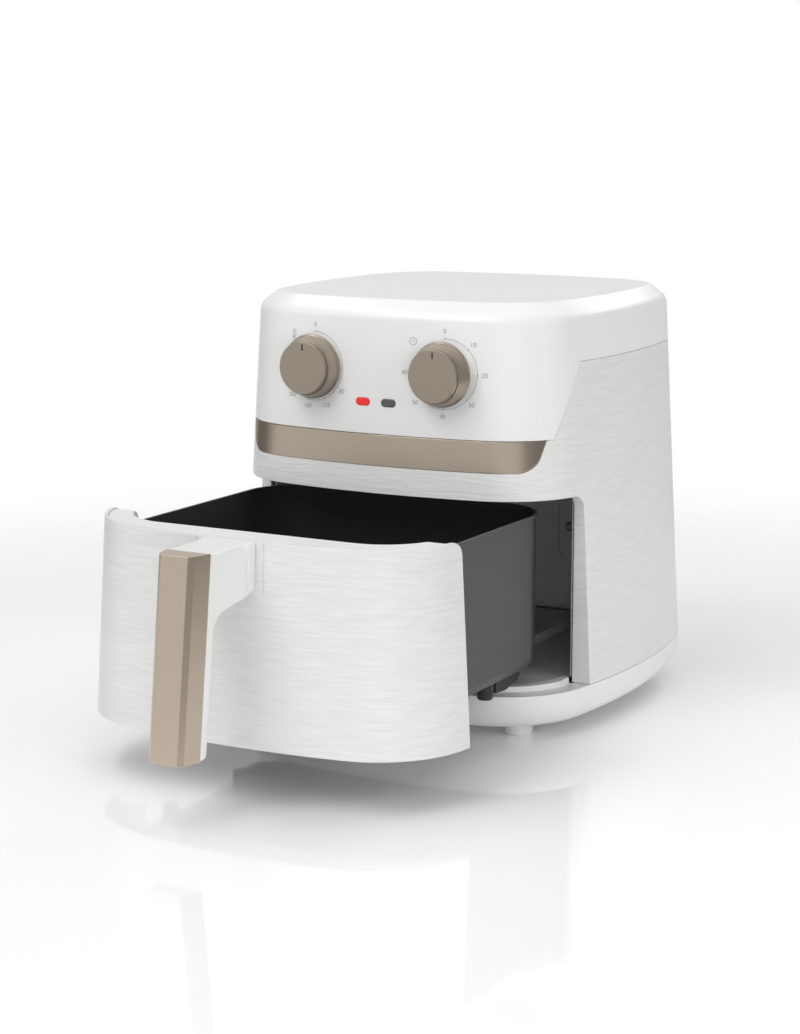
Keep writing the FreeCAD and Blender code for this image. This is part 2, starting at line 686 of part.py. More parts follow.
def drawer_front():
    shell = tapered(0, DRAWER_LOW, OPENING_TOP)
    shell = shell.cut(tapered(FRONT_WALL, DRAWER_LOW - 1, OPENING_TOP + 1)).common(drawer_block(0))
    skin = tapered(-1, 130, 180).cut(tapered(0.6, 129, 181))
    lines = [skin.common(box(x - 0.4, x + 0.4, -200, -100, 139, 180)) for x in (-25.6, 25.6)]
    holes = [rod_y(2.3, x, z, -200, -100) for x, z in HANDLE_SCREWS]
    return shell.cut(lines + holes)


def drawer_inner_cover():
    """Moulded cover behind the front: a top, ends, and a wall that follows the pan."""
    low = LIP_TOP + 0.7
    block = tapered(FRONT_WALL + 0.15, low, OPENING_TOP).common(drawer_block(0.9))
    block = block.cut(pan_space(1.6))
    hollow = tapered(FRONT_WALL, low - 1, OPENING_TOP).common(drawer_block(3.4))
    hollow = hollow.common(box(-200, 200, -200, 0, 0, OPENING_TOP - 4.3)).cut(pan_space(4.1))
    return block.cut(hollow)


def pan():
    """Deep drawn pan with a rolled rim, open at the top."""
    def block(inset, low, high, radius):
        shape = tray(PAN_X - inset, PAN_FRONT + inset, PAN_REAR - inset, PAN_CORNER - inset, low, high)
        lower = [edge for edge in shape.Edges if edge.BoundBox.ZMax < low + 0.01]
        return shape.makeFillet(radius, lower)
    bucket = block(0, PAN_LOW, PAN_TOP, PAN_BEND)
    rim = tray(PAN_X + 1, PAN_FRONT - 1, PAN_REAR + 1, PAN_CORNER + 1, PAN_TOP - 2.4, PAN_TOP)
    inside = block(PAN_WALL, PAN_LOW + PAN_WALL, PAN_TOP + 5, PAN_BEND - PAN_WALL)
    return bucket.fuse(rim).removeSplitter().cut(inside)


def pan_feet():
    """Pegs that the pan stands on when it is out of the body."""
    spots = [(x, y) for x in (-101, 101) for y in (21, -70)]
    low = LIP_TOP + 0.7
    peg = [(0, low), (4.8, low), (5.6, low + 1.2), (6.2, PAN_LOW), (0, PAN_LOW)]
    return apart([turned(peg, Vector(x, y, 0), Vector(0, 0, 1)) for x, y in spots])


def pan_runner(x):
    """Skid under the pan, sloped at its rear end to lead it into the chamber."""
    points = [(30, PAN_LOW), (30, 42.4), (46, 41.6), (64, 45), (72, PAN_LOW)]
    return prism_x(points, [0, 2, 4, 4, 0], x - 5, x + 5)


def handle_bracket():
    """White arm and the back half of the grip, in one moulding."""
    grip_low = GRIP_TOP + GRIP_RUN
    lean = GRIP_RUN.y / GRIP_RUN.z
    under_z = 131.0
    under_y = GRIP_TOP.y + HANDLE_DEPTH + lean * (under_z - GRIP_TOP.z)
    points = [(-138, 172.2), (GRIP_TOP.y + GRIP_DEPTH, 171.6),
              (grip_low.y + GRIP_DEPTH, grip_low.z + 0.4),
              (grip_low.y + HANDLE_DEPTH, grip_low.z + 0.4), (under_y, under_z), (-138, 138.5)]
    arm = prism_x(points, [0, 0, 0, 4, 15, 0], -GRIP_X, GRIP_X)
    sides = [edge for edge in arm.Edges
             if abs(abs(edge.CenterOfMass.x) - GRIP_X) < 0.01 and edge.CenterOfMass.y > grip_low.y + 18]
    arm = arm.makeFillet(1.8, [edge for edge in sides if edge.CenterOfMass.y < -140])
    root = [(-19.8, 138.5), (19.8, 138.5), (19.8, 171.9), (-19.8, 171.9)]
    arm = joined([arm, prism_y(root, [4, 4, 0, 0], -152.5, -138)])
    arm = arm.cut(tapered(-0.02, 100, 200))
    holes = [rod_y(1.9, x, z, -162, -140) for x, z in HANDLE_SCREWS]
    return arm.cut(holes)


def grip_section(z, rear):
    """Cross-section of the grip cover: a flat front, two small bevels and two raked sides."""
    front = GRIP_TOP.y + (z - GRIP_TOP.z) * GRIP_RUN.y / GRIP_RUN.z
    edge = GRIP_FLAT + GRIP_BEVEL
    side = edge + (rear - GRIP_BEVEL) * (GRIP_X - edge) / (GRIP_DEPTH - GRIP_BEVEL)
    points = [(-GRIP_FLAT, front), (GRIP_FLAT, front), (edge, front + GRIP_BEVEL), (side, front + rear),
              (-side, front + rear), (-edge, front + GRIP_BEVEL)]
    return path(points, [0] * 6, lambda p: Vector(p.x, p.y, z))


def handle_grip_cover():
    lean = Vector(0, GRIP_RUN.y / GRIP_RUN.z, 1)
    outer = Part.Face(grip_section(GRIP_TOP.z, GRIP_DEPTH - 0.1)).extrude(GRIP_RUN)
    middle_y = GRIP_TOP.y + GRIP_RUN.y / 2
    long_edges = [edge for edge in outer.Edges if edge.Length > 100]
    outer = outer.makeFillet(0.6, [edge for edge in long_edges if edge.CenterOfMass.y < middle_y + 5])
    inner = grip_section(GRIP_TOP.z - GRIP_WALL, GRIP_DEPTH + 2 * GRIP_WALL).makeOffset2D(-GRIP_WALL)
    hollow = Part.Face(inner).extrude(lean * (2 * GRIP_WALL + GRIP_RUN.z))
    return outer.cut(hollow)


def handle_screws():
    screws = []
    for x, z in HANDLE_SCREWS:
        profile = [(0, 0), (4, 0), (4, 2.4), (1.8, 2.4), (1.8, 18), (0, 18)]
        screws.append(turned(profile, Vector(x, -138.6, z), Vector(0, -1, 0)))
    return apart(screws)


# ---- Crisper plate

def crisper_plate():
    plate = tray(PAN_X - 5, PAN_FRONT + 5, PAN_REAR - 5, PAN_CORNER - 5, 64, 65.6)
    holes = []
    for row in range(11):
        for column in range(-6, 7):
            x = column * 15.0 + (7.5 if row % 2 else 0)
            y = PAN_MID + (row - 5) * 15.0
            if abs(x) < 92 and math.hypot(x, y - PAN_MID) > 16:
                holes.append(rod_z(4.0, x, y, 60, 70))
    clips = [rod_z(2.65, x, y, 60, 70) for x, y in BUMPER_SPOTS]
    return plate.cut(holes + clips + [rod_z(11, 0, PAN_MID, 60, 70)])


def crisper_bumpers():
    """Silicone buffers clipped to the plate's corners; the plate stands on them."""
    buffers = []
    for x, y in BUMPER_SPOTS:
        low = ring_z(5.5, 2.0, x, y, PAN_LOW + PAN_WALL + 0.3, 64)
        neck = ring_z(2.6, 2.0, x, y, 63, 66)
        top = ring_z(4.5, 2.0, x, y, 65.6, 68)
        buffers.append(joined([low, neck, top]))
    return apart(buffers)


FEET = {"foot_front_left": (-97, -103.5), "foot_front_right": (97, -103.5),
        "foot_rear_left": (-97, 103.5), "foot_rear_right": (97, 103.5)}

FIXED = {
    "main_housing": main_housing,
    "top_cover": top_cover,
    "trim_band": trim_band,
    "base": base,
    "base_screws": base_screws,
    "rear_vent_grille": rear_vent_grille,
    "cord_gland": cord_gland,
    "chamber_liner": chamber_liner,
    "chamber_rear_panel": chamber_rear_panel,
    "panel_screws": panel_screws,
    "chamber_floor": chamber_floor,
    "pan_rails": pan_rails,
    "reflector_dish": reflector_dish,
    "heating_element": heating_element,
    "element_guard": element_guard,
    "hot_air_fan": hot_air_fan,
    "cooling_fan": cooling_fan,
    "motor_shaft": motor_shaft,
    "fan_nut": fan_nut,
    "motor_rotor": motor_rotor,
    "motor_stator": motor_stator,
    "motor_end_lower": lambda: motor_end(236),
    "motor_end_upper": lambda: motor_end(265),
    "motor_bearings": motor_bearings,
    "motor_mount": motor_mount,
    "control_plate": control_plate,
    "thermostat": thermostat,
    "timer": timer,
    "timer_bell": timer_bell,
    "temperature_knob": lambda: knob(-KNOB_X),
    "temperature_knob_cap": lambda: knob_cap(-KNOB_X),
    "temperature_pointer": lambda: knob_pointer(-KNOB_X),
    "temperature_shaft": lambda: knob_shaft(-KNOB_X, -109),
    "timer_knob": lambda: knob(KNOB_X),
    "timer_knob_cap": lambda: knob_cap(KNOB_X),
    "timer_pointer": lambda: knob_pointer(KNOB_X),
    "timer_shaft": lambda: knob_shaft(KNOB_X, -105),
    "heating_lens": lambda: indicator_lens(-LAMP_X),
    "power_lens": lambda: indicator_lens(LAMP_X),
    "indicator_lamps": indicator_lamps,
    "interlock_switch": interlock_switch,
    "switch_plunger": switch_plunger,
    "thermal_fuse": thermal_fuse,
    "terminal_block": terminal_block,
}

SLIDING = {
    "drawer_front": drawer_front,
    "drawer_inner_cover": drawer_inner_cover,
    "pan": pan,
    "pan_feet": pan_feet,
    "pan_runner_left": lambda: pan_runner(-100),
    "pan_runner_right": lambda: pan_runner(100),
    "handle_bracket": handle_bracket,
    "handle_grip_cover": handle_grip_cover,
    "handle_screws": handle_screws,
    "crisper_plate": crisper_plate,
    "crisper_bumpers": crisper_bumpers,
}


def export(name, shape):
    if not shape.isValid():
        print("invalid:", name)
    print(f"{name:24s} solids {len(shape.Solids):3d}  volume {shape.Volume / 1000:9.2f} cm3")
    shape.exportStep(f"parts/{name}.step")


os.makedirs("parts", exist_ok=True)
for name, build in FIXED.items():
    export(name, build())
for name, spot in FEET.items():
    export(name, foot(*spot))
for name, build in SLIDING.items():
    shape = build()
    shape.translate(Vector(0, -DRAWER_OPEN, 0))
    export(name, shape)
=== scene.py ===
import bmesh
import bpy
import json
import math
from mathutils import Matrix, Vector
from mathutils.bvhtree import BVHTree


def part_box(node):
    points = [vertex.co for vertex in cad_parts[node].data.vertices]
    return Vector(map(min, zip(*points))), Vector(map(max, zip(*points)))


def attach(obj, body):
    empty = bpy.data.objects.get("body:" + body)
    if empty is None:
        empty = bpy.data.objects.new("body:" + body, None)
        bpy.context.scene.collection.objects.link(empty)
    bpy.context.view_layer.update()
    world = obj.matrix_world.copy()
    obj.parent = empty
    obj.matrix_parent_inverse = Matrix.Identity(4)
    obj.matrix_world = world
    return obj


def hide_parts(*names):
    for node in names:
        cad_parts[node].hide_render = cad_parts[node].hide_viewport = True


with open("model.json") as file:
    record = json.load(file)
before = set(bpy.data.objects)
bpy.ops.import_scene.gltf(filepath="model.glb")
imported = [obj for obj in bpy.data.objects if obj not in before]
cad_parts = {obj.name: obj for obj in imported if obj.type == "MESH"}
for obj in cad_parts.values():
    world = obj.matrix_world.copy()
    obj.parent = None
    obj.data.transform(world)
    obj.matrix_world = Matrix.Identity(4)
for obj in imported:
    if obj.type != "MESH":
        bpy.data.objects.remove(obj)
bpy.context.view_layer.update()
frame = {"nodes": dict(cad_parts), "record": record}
nodes = frame["nodes"]

# ---- Main housing
# The tapered white tube round the whole fryer, one injection moulding in ABS. Fine level
# ripples are eroded into its outside, and a wide mouth in front takes the drawer. It stands
# on the base and the top cover is screwed on from inside.

WELD_DISTANCE = 1e-6
FLAT_ANGLE = math.radians(0.04)
EDGE_ANGLE = math.radians(35)
HOUSING_EDGE = 0.00035
RIPPLE_LENGTH = 0.024
RIPPLE_PITCH = 0.0016
RIPPLE_DEPTH = 0.0003
RIPPLE_DRIFT = 0.005
MASK_RANGE = (0.15, 0.85)
SKIN_GRAIN = 2600.0
HOUSING_WHITE = (0.80, 0.80, 0.79)
PLASTIC = {"IOR": 1.5}


def body_of(node):
    """The body that a piece of the record rides on."""
    groups = frame["record"]["behaviour"]["bodies"]
    return next(body for body, members in groups.items() if node in members)


def surface_of(node):
    """A copy of a piece's surface to work on."""
    shape = bmesh.new()
    shape.from_mesh(nodes[node].data)
    return shape


def welded(shape):
    """The same surface with its split corners joined."""
    bmesh.ops.remove_doubles(shape, verts=shape.verts, dist=WELD_DISTANCE)
    return shape


def flattened(shape):
    """The same surface with each flat stretch made one face."""
    bmesh.ops.dissolve_limit(shape, angle_limit=FLAT_ANGLE, verts=shape.verts, edges=shape.edges)
    return shape


def round_edges(shape, width):
    """Rounds every sharp edge, as the tool that moulds or presses the piece does."""
    sharp = [edge for edge in shape.edges if edge.is_manifold and edge.calc_face_angle() > EDGE_ANGLE]
    bmesh.ops.bevel(shape, geom=sharp, offset=width, offset_type="OFFSET", segments=2,
                    profile=0.5, affect="EDGES", clamp_overlap=False)


def smooth_piece(shape, name, material):
    """A new object from a bmesh, smooth but for its creases."""
    mesh = bpy.data.meshes.new(name)
    shape.to_mesh(mesh)
    shape.free()
    mesh.polygons.foreach_set("use_smooth", [True] * len(mesh.polygons))
    mesh.set_sharp_from_angle(angle=EDGE_ANGLE)
    mesh.materials.append(material)
    piece = bpy.data.objects.new(name, mesh)
    bpy.context.scene.collection.objects.link(piece)
    flats = piece.modifiers.new("flats", "WEIGHTED_NORMAL")
    flats.keep_sharp = True
    return piece


def rounded_piece(shape, node, width, material):
    """Puts a shape with rounded edges and its own finish in the place of a node."""
    round_edges(shape, width)
    piece = smooth_piece(shape, node + ".finished", material)
    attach(piece, body_of(node))
    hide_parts(node)
    return piece


def finished(node, width, material):
    """The visible piece for a node that is one solid or several apart."""
    return rounded_piece(flattened(welded(surface_of(node))), node, width, material)


def place(tree, kind, inputs=None, **settings):
    """Adds a shader node; each input is a value or the socket that feeds it."""
    node = tree.nodes.new(kind)
    for name, value in settings.items():
        setattr(node, name, value)
    for name, value in (inputs or {}).items():
        if isinstance(value, bpy.types.NodeSocket):
            tree.links.new(value, node.inputs[name])
        else:
            node.inputs[name].default_value = value
    return node


def new_effect(name, inputs, outputs):
    """An empty node group with named numbers going in and numbers coming out."""
    tree = bpy.data.node_groups.new(name, "ShaderNodeTree")
    for label, value in inputs.items():
        socket = tree.interface.new_socket(label, in_out="INPUT", socket_type="NodeSocketFloat")
        socket.default_value = value
    for label in outputs:
        tree.interface.new_socket(label, in_out="OUTPUT", socket_type="NodeSocketFloat")
    return tree, tree.nodes.new("NodeGroupInput").outputs, tree.nodes.new("NodeGroupOutput").inputs


def noise(tree, vector, scale, detail=2.0, roughness=0.5):
    """Output of a noise texture, about 0.5 on average."""
    inputs = {"Vector": vector, "Scale": scale, "Detail": detail, "Roughness": roughness}
    return place(tree, "ShaderNodeTexNoise", inputs).outputs["Fac"]


def maths(tree, operation, first, second):
    """Output of a sum on two numbers or sockets."""
    return place(tree, "ShaderNodeMath", {0: first, 1: second}, operation=operation).outputs[0]


def level_ripples():
    """Short wavy streaks that lie level round a tapered wall and drift a few degrees."""
    labels = {"Length": RIPPLE_LENGTH, "Pitch": RIPPLE_PITCH}
    tree, given, result = new_effect("level_ripples", labels, ["Height"])
    coordinates = place(tree, "ShaderNodeTexCoord").outputs["Object"]
    parts = place(tree, "ShaderNodeSeparateXYZ", {0: coordinates}).outputs
    drift = maths(tree, "MULTIPLY", noise(tree, coordinates, 22.0, 1.0), RIPPLE_DRIFT)
    across = [maths(tree, "DIVIDE", parts[axis], given["Length"]) for axis in ("X", "Y")]
    upward = maths(tree, "DIVIDE", maths(tree, "ADD", parts["Z"], drift), given["Pitch"])
    stretched = place(tree, "ShaderNodeCombineXYZ", {0: across[0], 1: across[1], 2: upward})
    tree.links.new(noise(tree, stretched.outputs[0], 1.0, 1.5), result["Height"])
    return tree


def moulding_skin():
    """Faint flow marks and the fine orange peel of a moulding taken from a polished tool."""
    tree, given, result = new_effect("moulding_skin", {"Grain": SKIN_GRAIN}, ["Tone", "Height"])
    coordinates = place(tree, "ShaderNodeTexCoord").outputs["Object"]
    tree.links.new(noise(tree, coordinates, 9.0, 2.0), result["Tone"])
    tree.links.new(noise(tree, coordinates, given["Grain"], 2.0, 0.6), result["Height"])
    return tree


level_ripples_effect = level_ripples()
moulding_skin_effect = moulding_skin()


def effect(tree, group, **inputs):
    """Places a shared effect in a material and returns its outputs."""
    node = place(tree, "ShaderNodeGroup", node_tree=group)
    for name, value in inputs.items():
        node.inputs[name].default_value = value
    return node.outputs


def spread(tree, mask, low, high):
    """Turns a mask into a number that drifts between low and high."""
    inputs = {"Value": mask, "From Min": MASK_RANGE[0], "From Max": MASK_RANGE[1],
              "To Min": low, "To Max": high}
    return place(tree, "ShaderNodeMapRange", inputs, interpolation_type="SMOOTHSTEP").outputs["Result"]


def tint(tree, mask, first, second):
    """Colour that drifts between two tints with a mask."""
    ramp = place(tree, "ShaderNodeValToRGB", {"Fac": mask})
    ramp.color_ramp.interpolation = "EASE"
    for stop, level, colour in zip(ramp.color_ramp.elements, MASK_RANGE, (first, second)):
        stop.position = level
        stop.color = (*colour, 1)
    return ramp.outputs["Color"]


def shade(colour, share):
    """A colour made darker by a share below one, or lighter by one above it."""
    return tuple(channel * share for channel in colour)


def bumped(tree, height, distance, under=None):
    """Normal of a height, on top of another normal where one is given."""
    inputs = {"Height": height, "Distance": distance, "Strength": 1.0}
    if under:
        inputs["Normal"] = under
    return place(tree, "ShaderNodeBump", inputs).outputs["Normal"]


def new_material(name, inputs_of, **sockets):
    """A material whose Principled shader gets fixed sockets, and varying ones from inputs_of."""
    material = bpy.data.materials.new(name)
    material.use_nodes = True
    tree = material.node_tree
    tree.nodes.clear()
    shader = place(tree, "ShaderNodeBsdfPrincipled", {**sockets, **inputs_of(tree)})
    place(tree, "ShaderNodeOutputMaterial", {"Surface": shader.outputs["BSDF"]})
    return material


def rippled_white(tree):
    """Varying sockets of white plastic with the eroded ripples and a fine skin over them. Its colour is
    painted shade: darker than the smooth white, and darkest in the ripples' hollows.
    """
    skin = effect(tree, moulding_skin_effect, Grain=SKIN_GRAIN)
    ripples = effect(tree, level_ripples_effect, Length=RIPPLE_LENGTH, Pitch=RIPPLE_PITCH)
    fine = bumped(tree, skin["Height"], 0.00001)
    # painted shade: the ripples' hollows are coloured darker than their crests, and both are darker than
    # the smooth white of the same plastic
    painted_shade_hollow = shade(HOUSING_WHITE, 0.85)
    painted_shade_crest = shade(HOUSING_WHITE, 0.94)
    return {"Base Color": tint(tree, ripples["Height"], painted_shade_hollow, painted_shade_crest),
            "Roughness": spread(tree, ripples["Height"], 0.28, 0.40),
            "Normal": bumped(tree, ripples["Height"], RIPPLE_DEPTH, fine)}


white_grained_painted_shade = new_material("white_grained_painted_shade", rippled_white, **PLASTIC)


def one_skin(shape):
    """Takes out the partitions where the adjoining solids of one moulding meet face to face."""
    twins = {}
    for face in shape.faces:
        corners = frozenset(tuple(round(value, 6) for value in vert.co) for vert in face.verts)
        twins.setdefault(corners, []).append(face)
    doubled = [face for pair in twins.values() if len(pair) > 1 for face in pair]
    bmesh.ops.delete(shape, geom=doubled, context="FACES")
    return shape


housing_shape = flattened(welded(one_skin(surface_of("main_housing"))))
rounded_piece(housing_shape, "main_housing", HOUSING_EDGE, white_grained_painted_shade)

# ---- Top cover
# The smooth lid with the sloping control panel, moulded in the same white ABS from a polished
# tool. Its rim is a full round and it meets the housing in a fine seam.

COVER_EDGE = 0.0004


def plain_white(tree):
    """Varying sockets of the same white plastic from a polished tool."""
    skin = effect(tree, moulding_skin_effect, Grain=1800.0)
    return {"Base Color": tint(tree, skin["Tone"], shade(HOUSING_WHITE, 0.99), HOUSING_WHITE),
            "Roughness": spread(tree, skin["Tone"], 0.285, 0.315),
            "Normal": bumped(tree, skin["Height"], 0.000006)}


white_smooth = new_material("white_smooth", plain_white, **PLASTIC)
top_cover = finished("top_cover", COVER_EDGE, white_smooth)

# ---- Trim band
# Narrow band under the control panel, moulded and sprayed with a taupe lacquer that has fine
# metal flakes in it. It clips into a recess across the front of the housing.

BAND_EDGE = 0.0003
TAUPE = (0.60, 0.513, 0.417)
FLAKES_PER_METRE = 3200.0


def flake_lacquer():
    """Fine flakes of a sprayed metallic lacquer, each tilted a little its own way."""
    tree, given, result = new_effect("flake_lacquer", {"Flakes": FLAKES_PER_METRE}, ["Tone", "Height"])
    coordinates = place(tree, "ShaderNodeTexCoord").outputs["Object"]
    cells = place(tree, "ShaderNodeTexVoronoi", {"Vector": coordinates, "Scale": given["Flakes"]})
    grey = place(tree, "ShaderNodeRGBToBW", {"Color": cells.outputs["Color"]})
    tree.links.new(grey.outputs["Val"], result["Tone"])
    tree.links.new(noise(tree, coordinates, 700.0, 2.0), result["Height"])
    return tree


flake_lacquer_effect = flake_lacquer()


def taupe_lacquer(colour, dull):
    """Varying sockets of a taupe lacquer, glossier or duller."""
    def inputs_of(tree):
        flakes = effect(tree, flake_lacquer_effect, Flakes=FLAKES_PER_METRE)
        return {"Base Color": tint(tree, flakes["Tone"], shade(colour, 0.975), shade(colour, 1.02)),
                "Roughness": spread(tree, flakes["Tone"], dull - 0.015, dull + 0.015),
                "Normal": bumped(tree, flakes["Height"], 0.0000001)}
    return inputs_of


band_lacquer = new_material("taupe_band", taupe_lacquer(TAUPE, 0.30), Metallic=0.85)
finished("trim_band", BAND_EDGE, band_lacquer)

# ---- Base and feet
# Smooth white moulding that closes the body from below, with a shallow step and a raised lip
# under the drawer. Four soft white feet are pushed in, and four screws hold it to the housing.

BASE_EDGE = 0.00045
FOOT_EDGE = 0.0006
FEET = [f"foot_{end}_{side}" for end in ("front", "rear") for side in ("left", "right")]
RUBBER_WHITE = (0.74, 0.74, 0.72)


def soft_rubber(colour):
    """Varying sockets of a dull moulded rubber."""
    def inputs_of(tree):
        skin = effect(tree, moulding_skin_effect, Grain=3800.0)
        return {"Base Color": tint(tree, skin["Tone"], shade(colour, 0.94), colour),
                "Roughness": spread(tree, skin["Tone"], 0.52, 0.66),
                "Normal": bumped(tree, skin["Height"], 0.00002)}
    return inputs_of


def set_finish(material, *names):
    """Gives carried-over pieces their finish."""
    for name in names:
        nodes[name].data.materials.clear()
        nodes[name].data.materials.append(material)


finished("base", BASE_EDGE, white_smooth)
white_rubber = new_material("white_rubber", soft_rubber(RUBBER_WHITE))
for foot in FEET:
    finished(foot, FOOT_EDGE, white_rubber)

# ---- Screws, shafts and wire
# Bright zinc-plated steel: thread-forming screws, the turned shafts of the dials and motor,
# the fan's nut and the guard of welded wire.

STEEL = (0.56, 0.56, 0.55)
LINES_ALONG = 40.0
LINES_ACROSS = 2400.0


def drawn_metal():
    """Fine lines and a cloudy bloom of metal that was drawn or rolled along one axis."""
    labels = {"Along": LINES_ALONG, "Across": LINES_ACROSS}
    tree, given, result = new_effect("drawn_metal", labels, ["Lines", "Bloom"])
    coordinates = place(tree, "ShaderNodeTexCoord").outputs["Object"]
    parts = place(tree, "ShaderNodeSeparateXYZ", {0: coordinates}).outputs
    along = maths(tree, "MULTIPLY", parts["X"], given["Along"])
    across = [maths(tree, "MULTIPLY", parts[axis], given["Across"]) for axis in ("Y", "Z")]
    stretched = place(tree, "ShaderNodeCombineXYZ", {0: along, 1: across[0], 2: across[1]})
    tree.links.new(noise(tree, stretched.outputs[0], 1.0, 2.0), result["Lines"])
    tree.links.new(noise(tree, coordinates, 35.0, 4.0, 0.6), result["Bloom"])
    return tree


drawn_metal_effect = drawn_metal()


def bare_metal(colour, smoothest, dullest):
    """Varying sockets of a bare metal."""
    def inputs_of(tree):
        metal = effect(tree, drawn_metal_effect, Along=LINES_ALONG, Across=LINES_ACROSS)
        return {"Base Color": tint(tree, metal["Bloom"], shade(colour, 0.9), colour),
                "Roughness": spread(tree, metal["Bloom"], smoothest, dullest),
                "Normal": bumped(tree, metal["Lines"], 0.000008)}
    return inputs_of


plated_steel = new_material("plated_steel", bare_metal(STEEL, 0.22, 0.34), Metallic=1.0)
set_finish(plated_steel, "base_screws", "panel_screws", "handle_screws", "motor_shaft", "fan_nut",
           "temperature_shaft", "timer_shaft", "element_guard")

# ---- Rear grille and cord gland
# The grille is a white moulding with two columns of slots, clipped into the rear wall to let
# the warm air out. The gland is a black bush through which the mains lead goes in.

GRILLE_EDGE = 0.0003
GLAND_EDGE = 0.0003
BLACK_PLASTIC = (0.020, 0.020, 0.021)


def black_moulding(tree):
    """Varying sockets of black glass-filled nylon."""
    skin = effect(tree, moulding_skin_effect, Grain=2200.0)
    return {"Base Color": tint(tree, skin["Tone"], BLACK_PLASTIC, shade(BLACK_PLASTIC, 1.25)),
            "Roughness": spread(tree, skin["Tone"], 0.38, 0.50),
            "Normal": bumped(tree, skin["Height"], 0.00002)}


black_plastic = new_material("black_plastic", black_moulding)
finished("rear_vent_grille", GRILLE_EDGE, white_smooth)
finished("cord_gland", GLAND_EDGE, black_plastic)
set_finish(black_plastic, "interlock_switch", "terminal_block", "switch_plunger", "thermostat", "timer")

# ---- Chamber
# Pressed steel box that the pan slides into: a liner, a plate with two ribs and two framed
# fields on the rear wall, and a floor with guide rails, all with a grey heat-proof coating.

CHAMBER_EDGE = 0.0003
COATED_SHEET = (0.56, 0.55, 0.53)
SHEET_PEEL = 420.0


def heat_coating():
    """Sprayed and stoved coating: a soft orange peel with fine speckles in it."""
    tree, given, result = new_effect("heat_coating", {"Peel": SHEET_PEEL}, ["Speckle", "Height"])
    coordinates = place(tree, "ShaderNodeTexCoord").outputs["Object"]
    tree.links.new(noise(tree, coordinates, 1500.0, 3.0, 0.7), result["Speckle"])
    tree.links.new(noise(tree, coordinates, given["Peel"], 2.0), result["Height"])
    return tree


heat_coating_effect = heat_coating()


def coated(colour, smoothest, dullest, peel):
    """Varying sockets of a coated sheet."""
    def inputs_of(tree):
        coat = effect(tree, heat_coating_effect, Peel=peel)
        return {"Base Color": tint(tree, coat["Speckle"], shade(colour, 0.8), shade(colour, 1.3)),
                "Roughness": spread(tree, coat["Speckle"], smoothest, dullest),
                "Normal": bumped(tree, coat["Height"], 0.00004)}
    return inputs_of


coated_steel = new_material("coated_steel", coated(COATED_SHEET, 0.34, 0.46, SHEET_PEEL))
for chamber_piece in ("chamber_liner", "chamber_rear_panel", "chamber_floor", "pan_rails"):
    finished(chamber_piece, CHAMBER_EDGE, coated_steel)

# ---- Heating element and its dish
# A sheathed rod bent into a double ring round the fan, browned by its own heat, under a spun
# dish of aluminised steel. The fuse and the motor's bridge sit on the dish.

SHEATH = (0.105, 0.090, 0.075)
BRIGHT_SHEET = (0.62, 0.61, 0.59)
element_sheath = new_material("element_sheath", bare_metal(SHEATH, 0.42, 0.60), Metallic=0.8)
aluminised = new_material("aluminised_sheet", bare_metal(BRIGHT_SHEET, 0.30, 0.44), Metallic=1.0)
set_finish(element_sheath, "heating_element")
set_finish(aluminised, "reflector_dish", "motor_mount", "control_plate", "motor_end_lower",
           "motor_end_upper", "motor_rotor", "motor_stator", "timer_bell")

# ---- Fans, bearings and lamps
# Pressed aluminium fans on the motor's shaft, sleeve bearings of sintered bronze, and two
# glass neon lamps with a thermal fuse in a glass sleeve.

FAN_ALUMINIUM = (0.74, 0.75, 0.76)
BRONZE = (0.50, 0.34, 0.17)
LAMP_GLASS = (0.92, 0.66, 0.45)
fan_metal = new_material("fan_aluminium", bare_metal(FAN_ALUMINIUM, 0.26, 0.38), Metallic=1.0)
bronze = new_material("sintered_bronze", bare_metal(BRONZE, 0.40, 0.52), Metallic=1.0)
lamp_glass = new_material("lamp_glass", soft_rubber(LAMP_GLASS), **{"Transmission Weight": 0.6})
set_finish(fan_metal, "hot_air_fan", "cooling_fan")
set_finish(bronze, "motor_bearings")
set_finish(lamp_glass, "indicator_lamps", "thermal_fuse")

# ---- Dials
# Each dial is a taupe drum with a wider skirt, pushed onto its shaft, and a front disc with a
# notch that holds a dark pointer. Left is the thermostat's, right the timer's.

DRUM_EDGE = 0.0003
CAP_EDGE = 0.0002
POINTER_EDGE = 0.0001
KNOB_TAUPE = (0.385, 0.327, 0.265)
POINTER_INK = (0.030, 0.028, 0.026)
knob_lacquer = new_material("taupe_knob", taupe_lacquer(KNOB_TAUPE, 0.34), Metallic=0.6)


def dark_ink(tree):
    """Varying sockets of the dark paint in a pointer's notch."""
    skin = effect(tree, moulding_skin_effect, Grain=3000.0)
    return {"Base Color": tint(tree, skin["Tone"], POINTER_INK, shade(POINTER_INK, 1.3)),
            "Roughness": spread(tree, skin["Tone"], 0.45, 0.6)}


pointer_ink = new_material("pointer_ink", dark_ink)
for dial in ("temperature", "timer"):
    finished(f"{dial}_knob", DRUM_EDGE, knob_lacquer)
    finished(f"{dial}_knob_cap", CAP_EDGE, knob_lacquer)
    finished(f"{dial}_pointer", POINTER_EDGE, pointer_ink)

# ---- Dial print
# Scales, numbers and two small signs, pad-printed in thin pale grey ink on the top cover:
# degrees round the left dial, minutes round the right one.

